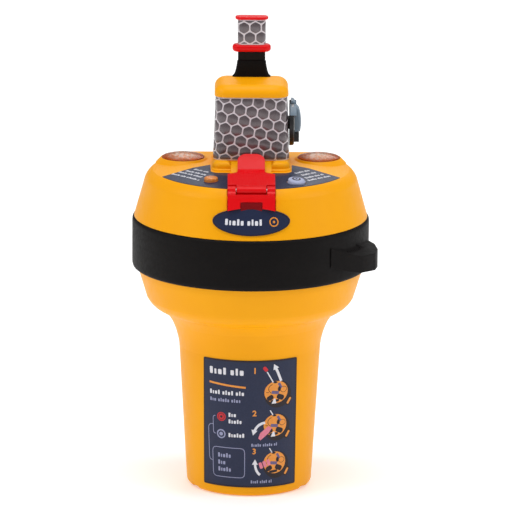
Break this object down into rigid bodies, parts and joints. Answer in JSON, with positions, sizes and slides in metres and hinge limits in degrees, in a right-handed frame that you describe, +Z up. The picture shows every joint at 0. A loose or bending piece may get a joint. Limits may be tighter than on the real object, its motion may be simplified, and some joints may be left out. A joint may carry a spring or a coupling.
{
  "type": "emergency position beacon",
  "caption": "Compact hand-sized emergency position beacon with a tapered grip, domed top, strobe lenses, wind-out antenna on a tower, hinged key flap and rubber band.",
  "frame": {"origin": "centre of the base, on the body's axis, where the beacon stands", "axes": "+Z up along the body's axis, -Y the front with the flap and labels, +X the winder's side"},
  "size_m": [0.0932, 0.089, 0.1773],
  "materials": {
    "yellow_shell": "glossy moulded plastic, signal yellow",
    "red_plastic": "glossy moulded plastic, red",
    "black_rubber": "soft moulded rubber, black, satin",
    "black_plastic": "moulded plastic, black",
    "grey_plastic": "moulded plastic, slate grey",
    "navy_film": "printed film, navy with pale graphics",
    "reflective_tape": "honeycomb reflective tape",
    "clear_lens": "clear moulded lens",
    "reflector_metal": "metallised reflector",
    "lamp": "light-emitting diode",
    "amber_light": "translucent amber light guide",
    "key_rubber": "silicone key, pale lilac grey",
    "spring_steel": "spring steel with black coating",
    "steel": "stainless steel",
    "seal_rubber": "sealing rubber",
    "circuit_board": "green circuit board",
    "tinned_can": "tinned sheet",
    "chip_plastic": "black chip and capacitor bodies",
    "ceramic": "ceramic aerial",
    "cell_jacket": "sleeved lithium cells",
    "contact_metal": "plated contacts",
    "inner_plastic": "inner moulded plastic"
  },
  "bodies": {
    "casing": {"lower_housing": "yellow_shell", "upper_housing": "yellow_shell", "housing_seal": "seal_rubber", "housing_screws": "steel", "lanyard_band": "black_rubber", "strobe_lens_left": "clear_lens", "strobe_lens_right": "clear_lens", "strobe_reflector_left": "reflector_metal", "strobe_reflector_right": "reflector_metal", "strobe_led_left": "lamp", "strobe_led_right": "lamp", "tower_housing": "yellow_shell", "tower_screws": "steel", "tower_cap": "yellow_shell", "tower_reflector": "reflective_tape", "antenna_grommet": "black_rubber", "flap_base": "red_plastic", "flap_hinge_pin": "steel", "top_label": "navy_film", "instruction_label": "navy_film", "badge_label": "navy_film", "status_led": "amber_light", "key_board": "circuit_board", "key_switches": "chip_plastic", "board_connector": "chip_plastic", "main_circuit_board": "circuit_board", "board_screws": "steel", "radio_shield": "tinned_can", "radio_chips": "chip_plastic", "satellite_aerial": "ceramic", "flash_capacitors": "chip_plastic", "battery_cells": "cell_jacket", "battery_cradle": "inner_plastic", "battery_lid": "inner_plastic", "battery_contacts": "contact_metal", "battery_plug": "inner_plastic"},
    "antenna": {"antenna_blade": "spring_steel", "antenna_end_piece": "red_plastic", "antenna_reflector": "reflective_tape"},
    "winder": {"winder_spool": "inner_plastic", "antenna_coil": "spring_steel", "winder_knob": "black_plastic", "winder_handle_pin": "steel"},
    "crank": {"winder_handle": "grey_plastic"},
    "flap": {"flap_cover": "red_plastic"},
    "power_key": {"on_off_button": "key_rubber"},
    "test_key": {"test_button": "key_rubber"}
  },
  "joints": [
    {"name": "antenna_slide", "type": "slide", "parent": "casing", "child": "antenna", "axis": [0, 0, 1], "range_m": [0, 0.16], "deforming": ["antenna_blade"]},
    {"name": "winder_spin", "type": "hinge", "parent": "casing", "child": "winder", "pos_m": [0, 0.004, 0.1382], "axis": [1, 0, 0], "continuous": true},
    {"name": "crank_flip", "type": "hinge", "parent": "winder", "child": "crank", "pos_m": [0.01545, 0.004, 0.1456], "axis": [0, -1, 0], "range_deg": [0, 90]},
    {"name": "flap_hinge", "type": "hinge", "parent": "casing", "child": "flap", "pos_m": [0, -0.0373, 0.1212], "axis": [1, 0, 0], "range_deg": [0, 135]},
    {"name": "on_off_press", "type": "slide", "parent": "casing", "child": "power_key", "axis": [0, 0, -1], "range_m": [0, 0.0008], "stiffness_N_per_m": 1500},
    {"name": "test_press", "type": "slide", "parent": "casing", "child": "test_key", "axis": [0, 0, -1], "range_m": [0, 0.0008], "stiffness_N_per_m": 1500}
  ],
  "couplings": [
    {"joint": "winder_spin", "follows": "antenna_slide", "rad_per_m": 157.08}
  ]
}
